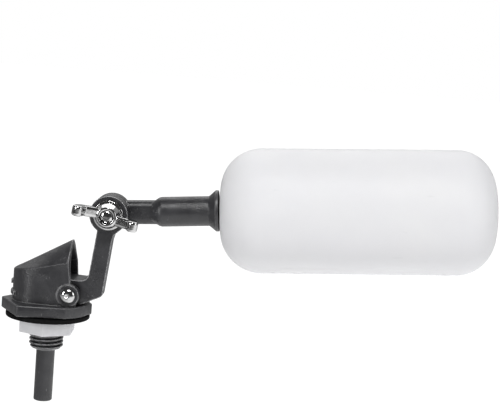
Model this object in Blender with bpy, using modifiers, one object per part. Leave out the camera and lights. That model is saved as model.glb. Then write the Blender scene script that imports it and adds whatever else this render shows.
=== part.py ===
"""Miniature float valve for a drinker or small tank, built as separate pieces.

The origin is on the shank's axis, at the face of the gasket that meets the tank's wall.
+Z points up into the tank, +X towards the float, and -Y towards the side with the wing nut.
The valve is fully open: the lever rests on the flange and the float hangs out level.
"""
import bmesh
import bpy
from math import atan2, cos, pi, radians, sin, tan
from mathutils import Matrix, Vector

MM = 0.001                          # all sizes below are millimetres times MM
GAP = 0.3 * MM                      # between pieces that touch or rest on each other
OVERLAP = 0.4 * MM                  # how far joined shapes reach into each other
MERGE = 0.0000002

# inlet stem, threaded shank and flange
STEM_RADIUS = 3.175 * MM            # quarter-inch tube
STEM_BOTTOM = -29.5 * MM
STEM_CHAMFER = 0.5 * MM
BORE_RADIUS = 2.1 * MM
THREAD_RADIUS = 5.8 * MM
THREAD_ROOT = 5.1 * MM
THREAD_PITCH = 1.33 * MM
THREAD_END = -10.4 * MM
THREAD_CLEARANCE = 0.3 * MM
GASKET_RADIUS = 14.3 * MM
GASKET_THICKNESS = 1.4 * MM
FLANGE_BOTTOM = GASKET_THICKNESS + GAP
FLANGE_TOP = 5.5 * MM
FLANGE_CORNER = 16.2 * MM
FLANGE_NOSE = 15.0 * MM
FLANGE_ROUND = 14.1 * MM            # radius of the rounded side that faces the float
NUT_FLATS = 17.5 * MM
NUT_HEIGHT = 5.0 * MM
NUT_TURN = radians(31.0)

# outlet hood
HOOD_RADIUS = 9.0 * MM
HOOD_BACK_CENTRE = -3.4 * MM
MOUTH_TOP = 7.3 * MM                # from the crease up
MOUTH_FOOT = 9.5 * MM               # at the flange
HOOD_WALL = 1.4 * MM
CREASE_AT_ORIGIN = 18.6 * MM
CREASE_SLOPE = 0.24
RIDGE_AT_ORIGIN = 23.0 * MM
RIDGE_SLOPE = 0.58
ARCH_POWER = 1.6                    # 1 would be a tent roof, 2 a rounded vault
RIB_HEIGHTS = (8.0 * MM, 11.4 * MM)
RIB_HALF_ANGLES = (radians(38.0), radians(14.0))
RIB_THICKNESS = 1.4 * MM
RIB_PROUD = 0.65 * MM

# pivot of the lever
PIVOT = Vector((7.8 * MM, 0.0, 9.3 * MM))
EAR_RADIUS = 3.8 * MM
EAR_OUTER = 9.5 * MM
EAR_INNER = 5.8 * MM
PIN_RADIUS = 1.5 * MM
PIN_HEAD_RADIUS = 2.55 * MM
PIN_HEAD_HEIGHT = 1.1 * MM
RETAINER_RADIUS = 3.1 * MM
RETAINER_THICKNESS = 0.6 * MM

# nozzle and seal
NOZZLE_TOP = 8.3 * MM
NOZZLE_LIP_RADIUS = 1.9 * MM
ORIFICE_RADIUS = 1.2 * MM
SEAL_RADIUS = 3.3 * MM
SEAL_THICKNESS = 2.2 * MM
SEAL_PROUD = 0.5 * MM
CLOSING_ANGLE = radians(12.0)       # from fully open to the seal on the nozzle
CLOSED_CLEARANCE = 0.2 * MM

# lever
LEVER_WIDTH = 5.5 * MM              # of the bar; the paddle has this on both sides of the middle
CLAMP = Vector((19.2 * MM, 0.0, 37.1 * MM))
EYE_RADIUS = 6.45 * MM
HUB_RADIUS = 3.4 * MM
BOLT_RADIUS = 2.0 * MM
HOLE_RADIUS = BOLT_RADIUS + GAP

# float arm, measured along its axis from the clamp bolt
ARM_TILT = radians(4.5)
ARM_RISE = 0.5 * MM                 # sleeve and float above the neck's centreline
ARM_WIDTH = 5.5 * MM
NECK_HALF_HEIGHT = 4.05 * MM
SLEEVE_START = 14.2 * MM
SLEEVE_RADIUS = 5.05 * MM
FLARE_START = 33.6 * MM
FLARE_END = 35.9 * MM
FLARE_RADIUS = 7.0 * MM
RIM_END = 36.9 * MM
STUD_RADIUS = 2.8 * MM
SLEEVE_LIFT = radians(1.2)          # the sleeve points up a little from the neck's line
FLOAT_LIFT = 0.65 * MM              # the float's axis above the sleeve's start
FLOAT_DROOP = radians(0.35)         # and the float hangs down a little from it
STUD_END = 45.0 * MM

# float, measured from the sleeve's rim
FLOAT_LENGTH = 92.5 * MM
FLOAT_RADIUS = 21.15 * MM
FLOAT_KNUCKLE = 13.0 * MM           # rounding of the far end
FLOAT_NEAR_KNUCKLE = 14.0 * MM      # and of the end at the arm
FLOAT_CROWN = 0.2 * MM
FLOAT_WALL = 1.2 * MM
FLOAT_HOLE = 5.0 * MM

# clamp bolt (M4), washer and wing nut
BOLT_SEAT = 2.0 * MM
BOLT_LENGTH = 12.7 * MM
HEAD_FLATS = 7.0 * MM
HEAD_HEIGHT = 2.8 * MM
WASHER_RADIUS = 5.0 * MM
WASHER_THICKNESS = 0.8 * MM
WING_TURN = radians(7.5)
WING_HUB_HEIGHT = 4.0 * MM
WING_HUB_BASE = 4.3 * MM
WING_HUB_TOP = 3.3 * MM
WING_REACH = 11.2 * MM
WING_HEIGHT = 9.0 * MM
WING_THICKNESS = 3.4 * MM           # where it leaves the hub
WING_SPREAD = 0.05                  # how much thicker it is at the tip, as a share
WING_OFFSET = 0.7 * MM              # each wing stands this far off the middle

parts = None
cutters = None


# ---------------------------------------------------------------- scene helpers

def clear_scene():
    for obj in list(bpy.data.objects):
        bpy.data.objects.remove(obj, do_unlink=True)
    for collection in list(bpy.data.collections):
        bpy.data.collections.remove(collection)


def new_collection(name):
    collection = bpy.data.collections.new(name)
    bpy.context.scene.collection.children.link(collection)
    return collection


def new_material(name, colour, roughness, metallic=0.0):
    material = bpy.data.materials.new(name)
    material.use_nodes = True
    shader = material.node_tree.nodes["Principled BSDF"]
    shader.inputs["Base Color"].default_value = (*colour, 1.0)
    shader.inputs["Roughness"].default_value = roughness
    shader.inputs["Metallic"].default_value = metallic
    material.diffuse_color = (*colour, 1.0)
    return material


def new_object(name, mesh):
    """A hidden object among the cutters; finish() turns it into a sub-part."""
    obj = bpy.data.objects.new(name, mesh)
    cutters.objects.link(obj)
    obj.hide_render = True
    obj.display_type = "WIRE"
    return obj


def finish(obj, name, material, parent=None):
    """Turn a shape into the sub-part of that name."""
    obj.name = name
    cutters.objects.unlink(obj)
    parts.objects.link(obj)
    obj.hide_render = False
    obj.display_type = "TEXTURED"
    obj.data.materials.clear()
    obj.data.materials.append(material)
    obj.data.shade_smooth()
    obj.data.set_sharp_from_angle(angle=radians(35.0))
    if parent:
        obj.parent = parent
        obj.matrix_parent_inverse = parent.matrix_world.inverted()
    return obj


def new_empty(name, location, rotation=(0.0, 0.0, 0.0)):
    empty = bpy.data.objects.new(name, None)
    empty.empty_display_size = 5.0 * MM
    empty.location = location
    empty.rotation_euler = rotation
    parts.objects.link(empty)
    return empty


# ---------------------------------------------------------------- shape helpers

def arc(centre, radius, start, end, steps):
    """Points on an arc from one angle to another, both in radians."""
    angles = [start + (end - start) * i / steps for i in range(steps + 1)]
    return [(centre[0] + radius * cos(a), centre[1] + radius * sin(a)) for a in angles]


def applied(obj):
    """Replace an object's mesh by its evaluated one, with no modifiers left."""
    bpy.context.view_layer.update()
    evaluated = obj.evaluated_get(bpy.context.evaluated_depsgraph_get())
    mesh = bpy.data.meshes.new_from_object(evaluated)
    obj.modifiers.clear()
    obj.data = mesh
    return obj


def turned(name, profile, steps, closed=False):
    """A turned solid about local Z. The (radius, height) profile runs down its outer side."""
    mesh = bpy.data.meshes.new(name)
    count = len(profile)
    edges = [(i, i + 1) for i in range(count - 1)]
    if closed:
        edges.append((count - 1, 0))
    mesh.from_pydata([(r, 0.0, z) for r, z in profile], edges, [])
    obj = new_object(name, mesh)
    screw = obj.modifiers.new("Turn", "SCREW")
    screw.steps = steps
    screw.render_steps = steps
    screw.use_merge_vertices = True
    screw.merge_threshold = MERGE
    return applied(obj)


def cylinder(name, radius, bottom, top, steps=32):
    """A solid cylinder about local Z."""
    work = bmesh.new()
    bmesh.ops.create_cone(work, cap_ends=True, segments=steps, radius1=radius, radius2=radius,
                          depth=top - bottom)
    bmesh.ops.translate(work, vec=(0.0, 0.0, (top + bottom) / 2), verts=work.verts)
    mesh = bpy.data.meshes.new(name)
    work.to_mesh(mesh)
    work.free()
    return new_object(name, mesh)


def ring(name, inner, outer, bottom, top, steps=32):
    """A plain washer about local Z."""
    profile = [(inner, top), (outer, top), (outer, bottom), (inner, bottom)]
    return turned(name, profile, steps, closed=True)


def prism(name, outline, depth_from, depth_to):
    """A flat outline in local XY, extruded along Z between two depths."""
    curve = bpy.data.curves.new(name, "CURVE")
    curve.dimensions = "2D"
    curve.fill_mode = "BOTH"
    curve.extrude = abs(depth_to - depth_from) / 2
    spline = curve.splines.new("POLY")
    spline.points.add(len(outline) - 1)
    for point, (x, y) in zip(spline.points, outline):
        point.co = (x, y, 0.0, 1.0)
    spline.use_cyclic_u = True
    source = new_object(name + "_outline", curve)
    source.location.z = (depth_from + depth_to) / 2
    bpy.context.view_layer.update()
    evaluated = source.evaluated_get(bpy.context.evaluated_depsgraph_get())
    mesh = bpy.data.meshes.new_from_object(evaluated)
    mesh.transform(source.matrix_world)
    bpy.data.objects.remove(source)
    weld(mesh)
    return new_object(name, mesh)


def side_prism(name, outline, y_from, y_to):
    """An outline drawn as (x, z), extruded along Y between two depths."""
    obj = prism(name, outline, -y_to, -y_from)
    obj.data.transform(Matrix.Rotation(pi / 2, 4, "X"))
    return obj


def weld(mesh):
    """Join points that coincide, and turn every face outwards."""
    work = bmesh.new()
    work.from_mesh(mesh)
    bmesh.ops.remove_doubles(work, verts=work.verts, dist=MERGE)
    bmesh.ops.recalc_face_normals(work, faces=work.faces)
    work.to_mesh(mesh)
    work.free()


def box(name, low, high):
    work = bmesh.new()
    bmesh.ops.create_cube(work, size=1.0)
    size = Vector(high) - Vector(low)
    middle = (Vector(high) + Vector(low)) / 2
    bmesh.ops.scale(work, vec=size, verts=work.verts)
    bmesh.ops.translate(work, vec=middle, verts=work.verts)
    mesh = bpy.data.meshes.new(name)
    work.to_mesh(mesh)
    work.free()
    return new_object(name, mesh)


def along_y(obj):
    """Lay a shape made about Z down so that its Z becomes +Y."""
    obj.data.transform(Matrix.Rotation(-pi / 2, 4, "X"))
    return obj


def along_x(obj):
    """Lay a shape made about Z down so that its Z becomes +X."""
    obj.data.transform(Matrix.Rotation(pi / 2, 4, "Y"))
    return obj


def moved(obj, offset):
    obj.data.transform(Matrix.Translation(offset))
    return obj


def combine(obj, others, operation="UNION"):
    """Join, cut or intersect with the other shapes and keep the result."""
    for other in others:
        boolean = obj.modifiers.new(operation.title(), "BOOLEAN")
        boolean.operation = operation
        boolean.solver = "EXACT"
        boolean.object = other
        applied(obj)
        bpy.data.objects.remove(other)
    weld(obj.data)
    return obj


def bevelled(obj, width, segments=2, angle=radians(40.0)):
    bevel = obj.modifiers.new("Bevel", "BEVEL")
    bevel.width = width
    bevel.segments = segments
    bevel.limit_method = "ANGLE"
    bevel.angle_limit = angle
    applied(obj)
    weld(obj.data)
    return obj


def loft(name, sections):
    """A closed solid through rings of points; each ring has the same number of points."""
    work = bmesh.new()
    rings = [[work.verts.new(p) for p in section] for section in sections]
    count = len(rings[0])
    for first, second in zip(rings, rings[1:]):
        for i in range(count):
            j = (i + 1) % count
            work.faces.new((first[i], first[j], second[j], second[i]))
    work.faces.new(rings[0])
    work.faces.new(rings[-1])
    bmesh.ops.recalc_face_normals(work, faces=work.faces)
    mesh = bpy.data.meshes.new(name)
    work.to_mesh(mesh)
    work.free()
    return new_object(name, mesh)


# ---------------------------------------------------------------- valve body

def flange():
    """A hexagon whose side towards the float is rounded."""
    corner = [(FLANGE_CORNER * cos(a), FLANGE_CORNER * sin(a))
              for a in (radians(120.0), radians(180.0), radians(240.0))]
    half = radians(58.0)
    nose = radians(9.0)
    lower = arc((0.0, 0.0), FLANGE_ROUND, -half, -nose, 6)
    upper = arc((0.0, 0.0), FLANGE_ROUND, nose, half, 6)
    outline = corner + lower + [(FLANGE_NOSE, 0.0)] + upper
    return bevelled(prism("flange", outline, FLANGE_BOTTOM, FLANGE_TOP), 0.35 * MM)


def shank_and_nozzle():
    """The nozzle, the threaded shank and the inlet stem, turned in one piece."""
    profile = [(0.0, NOZZLE_TOP), (NOZZLE_LIP_RADIUS, NOZZLE_TOP)]
    profile += [(3.6 * MM, FLANGE_TOP - OVERLAP), (THREAD_ROOT, FLANGE_TOP - OVERLAP)]
    turns = int((FLANGE_BOTTOM - THREAD_END) / THREAD_PITCH)
    for turn in range(1, turns + 1):
        crest = FLANGE_BOTTOM - turn * THREAD_PITCH
        radius = THREAD_RADIUS if turn < turns else THREAD_RADIUS - 0.45 * MM
        profile += [(THREAD_ROOT, crest + 0.45 * THREAD_PITCH),
                    (radius, crest + 0.12 * THREAD_PITCH),
                    (radius, crest - 0.12 * THREAD_PITCH),
                    (THREAD_ROOT, crest - 0.45 * THREAD_PITCH)]
    profile += [(STEM_RADIUS + OVERLAP, THREAD_END - 0.7 * MM),
                (STEM_RADIUS, THREAD_END - 1.1 * MM),
                (STEM_RADIUS, STEM_BOTTOM + STEM_CHAMFER),
                (STEM_RADIUS - STEM_CHAMFER, STEM_BOTTOM),
                (0.0, STEM_BOTTOM)]
    return turned("shank", profile, 32)


def waterway():
    """The orifice and the wider bore below it."""
    shoulder = FLANGE_TOP - 1.0 * MM
    profile = [(0.0, NOZZLE_TOP + 1.0 * MM), (ORIFICE_RADIUS, NOZZLE_TOP + 1.0 * MM),
               (ORIFICE_RADIUS, shoulder), (BORE_RADIUS, shoulder - 1.0 * MM),
               (BORE_RADIUS, STEM_BOTTOM - 1.0 * MM), (0.0, STEM_BOTTOM - 1.0 * MM)]
    return turned("waterway", profile, 24)


def hood_plan(inset, mouth):
    """U-shaped outline of the hood: a half circle at the back and straight sides."""
    radius = HOOD_RADIUS - inset
    back = arc((HOOD_BACK_CENTRE, 0.0), radius, pi / 2, 3 * pi / 2, 20)
    return back + [(mouth, -radius), (mouth, radius)]


def arch_section(x, inset, floor):
    """Cross-section of the roof at x: a pointed arch over straight sides down to the floor."""
    half_width = HOOD_RADIUS - inset
    crease = CREASE_AT_ORIGIN + CREASE_SLOPE * x - inset
    ridge = max(RIDGE_AT_ORIGIN + RIDGE_SLOPE * x - inset, crease + 0.05 * MM)
    side = half_width + OVERLAP
    section = [(x, -side, floor), (x, side, floor)]
    steps = 8
    for i in range(2 * steps + 1):
        across = 1.0 - i / steps
        height = crease + (ridge - crease) * (1.0 - abs(across) ** ARCH_POWER)
        section.append((x, across * side, height))
    return section


def hood_solid(name, inset, bottom, mouth):
    """The hood's volume, inset from the outside by a wall thickness."""
    back = HOOD_BACK_CENTRE - HOOD_RADIUS
    walls = prism(name, hood_plan(inset, mouth), bottom, RIDGE_AT_ORIGIN + HOOD_RADIUS)
    stations = [back - 1.0 * MM, back + 4.0 * MM, 0.0, mouth + 1.0 * MM]
    roof = loft(name + "_roof", [arch_section(x, inset, bottom - 1.0 * MM) for x in stations])
    return combine(walls, [roof], "INTERSECT")


def hood_shell():
    """The hood: closed at the back and the top, open below and at its leaning mouth."""
    beyond = MOUTH_FOOT + 3.0 * MM
    shell = hood_solid("hood", 0.0, FLANGE_TOP - OVERLAP, beyond)
    inside = hood_solid("hood_inside", HOOD_WALL, FLANGE_TOP - 2 * OVERLAP, beyond + MM)
    height = RIDGE_AT_ORIGIN + HOOD_RADIUS
    mouth = [(MOUTH_FOOT, 0.0), (2 * beyond, 0.0), (2 * beyond, height), (MOUTH_TOP, height),
             (MOUTH_TOP, CREASE_AT_ORIGIN + CREASE_SLOPE * MOUTH_TOP),
             (MOUTH_FOOT, FLANGE_TOP - OVERLAP)]
    front = side_prism("mouth", mouth, -2 * HOOD_RADIUS, 2 * HOOD_RADIUS)
    return combine(shell, [inside, front], "DIFFERENCE")


def rib(height, half_angle):
    """A short raised rib that follows the back of the hood."""
    outer = HOOD_RADIUS + RIB_PROUD
    inner = HOOD_RADIUS - OVERLAP
    centre = (HOOD_BACK_CENTRE, 0.0)
    outline = arc(centre, outer, pi - half_angle, pi + half_angle, 8)
    outline += arc(centre, inner, pi + half_angle, pi - half_angle, 8)
    return prism("rib", outline, height - RIB_THICKNESS / 2, height + RIB_THICKNESS / 2)


def ear(side):
    """One ear: a round-topped web inside the hood's wall, and the boss that stands out of it."""
    web_radius = EAR_RADIUS - 0.25 * MM
    floor = FLANGE_TOP - OVERLAP
    outline = arc((PIVOT.x, PIVOT.z), web_radius, -0.15 * pi, pi, 18)
    outline += [(PIVOT.x - web_radius, floor), (PIVOT.x + 2.4 * MM, floor)]
    web = side_prism("ear_web", outline, EAR_INNER, HOOD_RADIUS - OVERLAP)
    boss = cylinder("ear_boss", EAR_RADIUS, EAR_INNER + OVERLAP, EAR_OUTER)
    combine(web, [moved(along_y(boss), PIVOT)])
    if side < 0:
        web.data.transform(Matrix.Scale(-1.0, 4, (0.0, 1.0, 0.0)))
        web.data.flip_normals()
    return web


def make_valve_body(material):
    body = flange()
    ribs = [rib(h, a) for h, a in zip(RIB_HEIGHTS, RIB_HALF_ANGLES)]
    combine(body, [shank_and_nozzle(), hood_shell(), ear(1), ear(-1)] + ribs)
    pin_hole = cylinder("pin_hole", PIN_RADIUS + GAP, -EAR_OUTER - MM, EAR_OUTER + MM, 24)
    combine(body, [waterway(), moved(along_y(pin_hole), PIVOT)], "DIFFERENCE")
    return finish(body, "valve_body", material)


def make_gasket(material):
    gasket = ring("gasket", THREAD_RADIUS + THREAD_CLEARANCE, GASKET_RADIUS,
                  0.0, GASKET_THICKNESS, 48)
    return finish(gasket, "flange_gasket", material)


def hexagon(flats):
    """A hexagon with flats at +Y and -Y."""
    corner = flats / 2 / cos(pi / 6)
    return arc((0.0, 0.0), corner, 0.0, 5 * pi / 3, 5)


def make_mounting_nut(material):
    nut = bevelled(prism("nut", hexagon(NUT_FLATS), -NUT_HEIGHT, 0.0), 0.4 * MM)
    hole = cylinder("nut_hole", THREAD_RADIUS + THREAD_CLEARANCE, -NUT_HEIGHT - MM, MM)
    combine(nut, [hole], "DIFFERENCE")
    nut.location = (0.0, 0.0, -GAP)
    nut.rotation_euler = (0.0, 0.0, NUT_TURN)
    return finish(nut, "mounting_nut", material)


# ---------------------------------------------------------------- lever and its pivot

def lever_bar_outline(eye):
    """Side view of the lever, as (x, z) from the pivot: foot, elbow, leaning bar and round eye."""
    lean = atan2(2.0, 16.1)         # the bar's sides lean towards the float
    elbow = (9.6 * MM, 1.0 * MM)
    right_top = (13.15 * MM, 19.0 * MM)
    left_top = (7.95 * MM, 22.3 * MM)
    left_bottom = (6.1 * MM, 7.2 * MM)
    fillet = (3.35 * MM, 7.55 * MM)
    inner_hub = HUB_RADIUS - 0.2 * MM       # inside the paddle's own hub
    outline = [(0.0, -inner_hub), (4.1 * MM, -inner_hub)]
    outline += arc(elbow, 1.6 * MM, radians(-64.0), -lean, 5)
    outline += [right_top, (13.75 * MM, 21.2 * MM)]
    outline += arc(eye, EYE_RADIUS, radians(-50.0), radians(237.0), 26)
    outline += [left_top, left_bottom]
    outline += arc(fillet, 2.75 * MM, radians(-8.0), radians(-94.0), 5)
    outline += [(-1.5 * MM, 4.95 * MM)]
    return outline + arc((0.0, 0.0), inner_hub, pi, 1.45 * pi, 5)


def paddle_solid():
    """The wide end of the lever inside the hood; its underside is level when the valve is shut."""
    tip = -12.4 * MM
    seal_x = -PIVOT.x
    under = seal_face_height() + SEAL_PROUD
    slope = tan(CLOSING_ANGLE)
    outline = [(0.0, -HUB_RADIUS), (4.1 * MM, -HUB_RADIUS + 0.05 * MM), (7.6 * MM, -1.2 * MM),
               (6.4 * MM, 6.5 * MM), (5.6 * MM, 5.2 * MM), (4.0 * MM, 4.75 * MM),
               (tip, 5.5 * MM), (tip, under - slope * (tip - seal_x))]
    outline += [(-HUB_RADIUS, under - slope * (-HUB_RADIUS - seal_x))]
    outline += arc((0.0, 0.0), HUB_RADIUS, pi, 1.45 * pi, 6)
    paddle = side_prism("paddle", outline, -LEVER_WIDTH, LEVER_WIDTH)
    corner = 2.5 * MM
    plan = arc((tip + corner, LEVER_WIDTH - corner), corner, pi / 2, pi, 5)
    plan += arc((tip + corner, -LEVER_WIDTH + corner), corner, pi, 1.5 * pi, 5)
    plan += [(8.4 * MM, -LEVER_WIDTH), (8.4 * MM, -0.8 * MM)]
    plan += arc((1.7 * MM, -0.8 * MM), LEVER_WIDTH + 0.8 * MM, 0.0, pi / 2, 8)
    trim = prism("paddle_plan", plan, -8.0 * MM, 10.0 * MM)
    return combine(paddle, [trim], "INTERSECT")


def seal_face_height():
    """Height of the seal's face above the pivot, at the nozzle's axis, with the valve open."""
    closed = NOZZLE_TOP + CLOSED_CLEARANCE - PIVOT.z
    return PIVOT.x * sin(CLOSING_ANGLE) + closed * cos(CLOSING_ANGLE)


def seal_placement():
    """Where the seal's face centre is in the pivot's frame, tilted open."""
    tilt = Matrix.Rotation(CLOSING_ANGLE, 4, "Y")
    return tilt @ Matrix.Translation((-PIVOT.x, 0.0, NOZZLE_TOP + CLOSED_CLEARANCE - PIVOT.z))


def make_lever(material, pivot):
    eye = CLAMP - PIVOT
    lever = side_prism("bar", lever_bar_outline((eye.x, eye.z)), -LEVER_WIDTH, 0.0)
    combine(lever, [paddle_solid()])
    pocket = cylinder("pocket", SEAL_RADIUS + GAP, -2.0 * MM, SEAL_THICKNESS + GAP, 32)
    pocket.data.transform(seal_placement())
    pin_hole = along_y(cylinder("pin_hole", PIN_RADIUS + GAP, -8.0 * MM, 8.0 * MM, 24))
    bolt_hole = along_y(cylinder("bolt_hole", HOLE_RADIUS, -8.0 * MM, 2.0 * MM, 24))
    combine(lever, [pocket, pin_hole, moved(bolt_hole, eye)], "DIFFERENCE")
    lever.location = PIVOT
    return finish(lever, "lever", material, pivot)


def make_seal(material, pivot):
    seal = cylinder("seal", SEAL_RADIUS, 0.0, SEAL_THICKNESS, 32)
    seal.data.transform(seal_placement())
    seal.location = PIVOT
    return finish(seal, "seal_plug", material, pivot)


def make_pivot_pin(material):
    """A headed pin: a domed head with a dimple on the wing nut's side."""
    head = EAR_OUTER + GAP
    tail = -EAR_OUTER - GAP - RETAINER_THICKNESS - 0.6 * MM
    top = head + PIN_HEAD_HEIGHT
    dome = [(PIN_HEAD_RADIUS * sin(a), head + PIN_HEAD_HEIGHT * cos(a))
            for a in (radians(18.0), radians(36.0), radians(54.0), radians(72.0), radians(90.0))]
    profile = [(0.0, top - 0.5 * MM)] + dome
    profile += [(PIN_RADIUS, head), (PIN_RADIUS, tail + 0.3 * MM),
                (PIN_RADIUS - 0.3 * MM, tail), (0.0, tail)]
    pin = turned("pin", profile, 24)
    pin.data.transform(Matrix.Rotation(pi / 2, 4, "X"))
    pin.location = PIVOT
    return finish(pin, "pivot_pin", material)


def make_retainer(material):
    """The push-on ring that holds the pin at the back ear."""
    inner = PIN_RADIUS + GAP
    retainer = ring("retainer", inner, RETAINER_RADIUS, 0.0, RETAINER_THICKNESS, 24)
    along_y(retainer)
    retainer.location = PIVOT + Vector((0.0, EAR_OUTER + GAP, 0.0))
    return finish(retainer, "pin_retainer", material)


# ---------------------------------------------------------------- float arm and float

def make_float_arm(material, clamp):
    """Drawn along +X from the clamp bolt, then tilted by its parent's rotation."""
    back = GAP + ARM_WIDTH
    arm = along_y(cylinder("arm_eye", EYE_RADIUS, GAP, back, 40))
    neck = box("neck", (0.0, GAP, -NECK_HALF_HEIGHT),
               (SLEEVE_START + 2.0 * MM, back - 0.6 * MM, NECK_HALF_HEIGHT))
    bevelled(neck, 0.8 * MM)
    profile = [(0.0, STUD_END), (STUD_RADIUS - 0.5 * MM, STUD_END),
               (STUD_RADIUS, STUD_END - 0.5 * MM), (STUD_RADIUS, RIM_END),
               (FLARE_RADIUS, RIM_END), (FLARE_RADIUS, FLARE_END),
               (SLEEVE_RADIUS, FLARE_START), (SLEEVE_RADIUS, SLEEVE_START + 2.6 * MM),
               (SLEEVE_RADIUS - 0.4 * MM, SLEEVE_START + 1.1 * MM),
               (SLEEVE_RADIUS - 1.8 * MM, SLEEVE_START), (0.0, SLEEVE_START)]
    sleeve = moved(along_x(turned("sleeve", profile, 32)), (-SLEEVE_START, 0.0, 0.0))
    sleeve.data.transform(Matrix.Rotation(-SLEEVE_LIFT, 4, "Y"))
    moved(sleeve, (SLEEVE_START, 0.0, ARM_RISE))
    combine(arm, [neck, sleeve])
    hole = along_y(cylinder("arm_hole", HOLE_RADIUS, -2.0 * MM, 8.0 * MM, 24))
    head_room = prism("head_room", hexagon(HEAD_FLATS + 2 * GAP), 0.0, 8.0 * MM)
    moved(along_y(head_room), (0.0, BOLT_SEAT - GAP, 0.0))
    combine(arm, [hole, head_room], "DIFFERENCE")
    return placed_on_arm(arm, "float_arm", material, clamp)


def placed_on_arm(obj, name, material, clamp):
    """Place a shape drawn along +X from the clamp bolt at the arm's tilt."""
    obj.location = CLAMP
    obj.rotation_euler = (0.0, -ARM_TILT, 0.0)
    return finish(obj, name, material, clamp)


def half_float(inset):
    """Half section of the float, as (radius, distance) from its far pole to the near end's hole."""
    flat_far = FLOAT_RADIUS - FLOAT_KNUCKLE
    flat_near = FLOAT_RADIUS - FLOAT_NEAR_KNUCKLE
    far = [(0.0, FLOAT_LENGTH - inset),
           (flat_far / 2, FLOAT_LENGTH - inset - FLOAT_CROWN / 4)]
    far_centre = (flat_far, FLOAT_LENGTH - FLOAT_CROWN - FLOAT_KNUCKLE)
    round_far = arc(far_centre, FLOAT_KNUCKLE - inset, pi / 2, 0.0, 8)
    near_centre = (flat_near, FLOAT_CROWN + FLOAT_NEAR_KNUCKLE)
    round_near = arc(near_centre, FLOAT_NEAR_KNUCKLE - inset, 0.0, -pi / 2, 8)
    edge = inset + FLOAT_CROWN * (FLOAT_HOLE / flat_near) ** 2
    return far + round_far + round_near + [(FLOAT_HOLE, edge)]


def hung(obj):
    """Move a shape drawn from the sleeve's rim onto the float's own line, in the arm's frame."""
    obj.data.transform(Matrix.Rotation(FLOAT_DROOP, 4, "Y"))
    return moved(obj, (RIM_END, 0.0, ARM_RISE + FLOAT_LIFT))


def make_float(material, clamp):
    """A thin hollow shell, open only at the hole that its threaded insert fills."""
    inside = list(reversed(half_float(FLOAT_WALL)))
    shell = along_x(turned("float", half_float(0.0) + inside, 48))
    hung(moved(shell, (GAP, 0.0, 0.0)))
    return placed_on_arm(shell, "float_shell", material, clamp)


def make_insert(material, clamp):
    """The threaded insert in the float's end, which the arm's stud screws into."""
    mouth = GAP + 0.2 * MM
    collar = 2 * GAP + FLOAT_WALL + FLOAT_CROWN
    outer = FLOAT_HOLE - GAP
    hole = STUD_RADIUS + GAP
    stud_end = STUD_END - RIM_END + GAP
    end = stud_end + 2.0 * MM
    flange_radius = 6.6 * MM
    profile = [(0.0, end), (outer, end), (outer, collar + 2.0 * MM),
               (flange_radius, collar + 2.0 * MM), (flange_radius, collar), (outer, collar),
               (outer, mouth), (hole, mouth), (hole, stud_end), (0.0, stud_end)]
    insert = hung(along_x(turned("insert", profile, 32)))
    return placed_on_arm(insert, "float_insert", material, clamp)


# ---------------------------------------------------------------- clamp bolt, washer, wing nut

def make_clamp_bolt(material, clamp):
    """An M4 bolt along -Y, with its hexagon head held in the float arm."""
    head = prism("head", hexagon(HEAD_FLATS), 0.0, HEAD_HEIGHT)
    chamfer = 0.4 * MM
    profile = [(0.0, OVERLAP), (BOLT_RADIUS, OVERLAP), (BOLT_RADIUS, chamfer - BOLT_LENGTH),
               (BOLT_RADIUS - chamfer, -BOLT_LENGTH), (0.0, -BOLT_LENGTH)]
    combine(head, [turned("bolt_shank", profile, 24)])
    moved(along_y(head), (0.0, BOLT_SEAT, 0.0))
    return placed_on_arm(head, "clamp_bolt", material, clamp)


def make_washer(material, clamp):
    washer = ring("washer", HOLE_RADIUS, WASHER_RADIUS, 0.0, WASHER_THICKNESS, 32)
    along_y(washer)
    face = -LEVER_WIDTH - GAP - WASHER_THICKNESS
    washer.location = CLAMP + Vector((0.0, face, 0.0))
    return finish(washer, "flat_washer", material, clamp)


def wing_outline():
    """One wing seen from the side, as (reach, height) above the nut's base."""
    tip = 1.9 * MM
    top = arc((WING_REACH - tip, WING_HEIGHT - tip), tip, 0.0, 0.8 * pi, 7)
    return [(2.9 * MM, 0.8 * MM), (6.5 * MM, 1.5 * MM), (9.6 * MM, 2.9 * MM),
            (10.9 * MM, 5.0 * MM)] + top + [(6.9 * MM, 5.4 * MM), (3.0 * MM, 3.7 * MM)]


def make_wing_nut(material, clamp):
    profile = [(0.0, WING_HUB_HEIGHT), (WING_HUB_TOP, WING_HUB_HEIGHT),
               (WING_HUB_BASE, 0.8 * MM), (WING_HUB_BASE, 0.0), (0.0, 0.0)]
    nut = turned("wing_hub", profile, 32)
    wings = []
    for turn in (0.0, pi):
        wing = side_prism("wing", wing_outline(), -WING_THICKNESS / 2, WING_THICKNESS / 2)
        bevelled(wing, 0.7 * MM)
        for vertex in wing.data.vertices:
            vertex.co.y *= 1.0 + WING_SPREAD * max(vertex.co.x / WING_REACH, 0.0)
            vertex.co.y -= WING_OFFSET
        wing.data.transform(Matrix.Rotation(turn, 4, "Z"))
        wings.append(wing)
    combine(nut, wings)
    combine(nut, [cylinder("nut_hole", HOLE_RADIUS, -MM, WING_HUB_HEIGHT + MM, 24)], "DIFFERENCE")
    nut.data.transform(Matrix.Rotation(pi / 2, 4, "X"))
    base = -LEVER_WIDTH - 2 * GAP - WASHER_THICKNESS
    nut.location = CLAMP + Vector((0.0, base, 0.0))
    nut.rotation_euler = (0.0, WING_TURN, 0.0)
    return finish(nut, "wing_nut", material, clamp)


# ---------------------------------------------------------------- assembly

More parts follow.
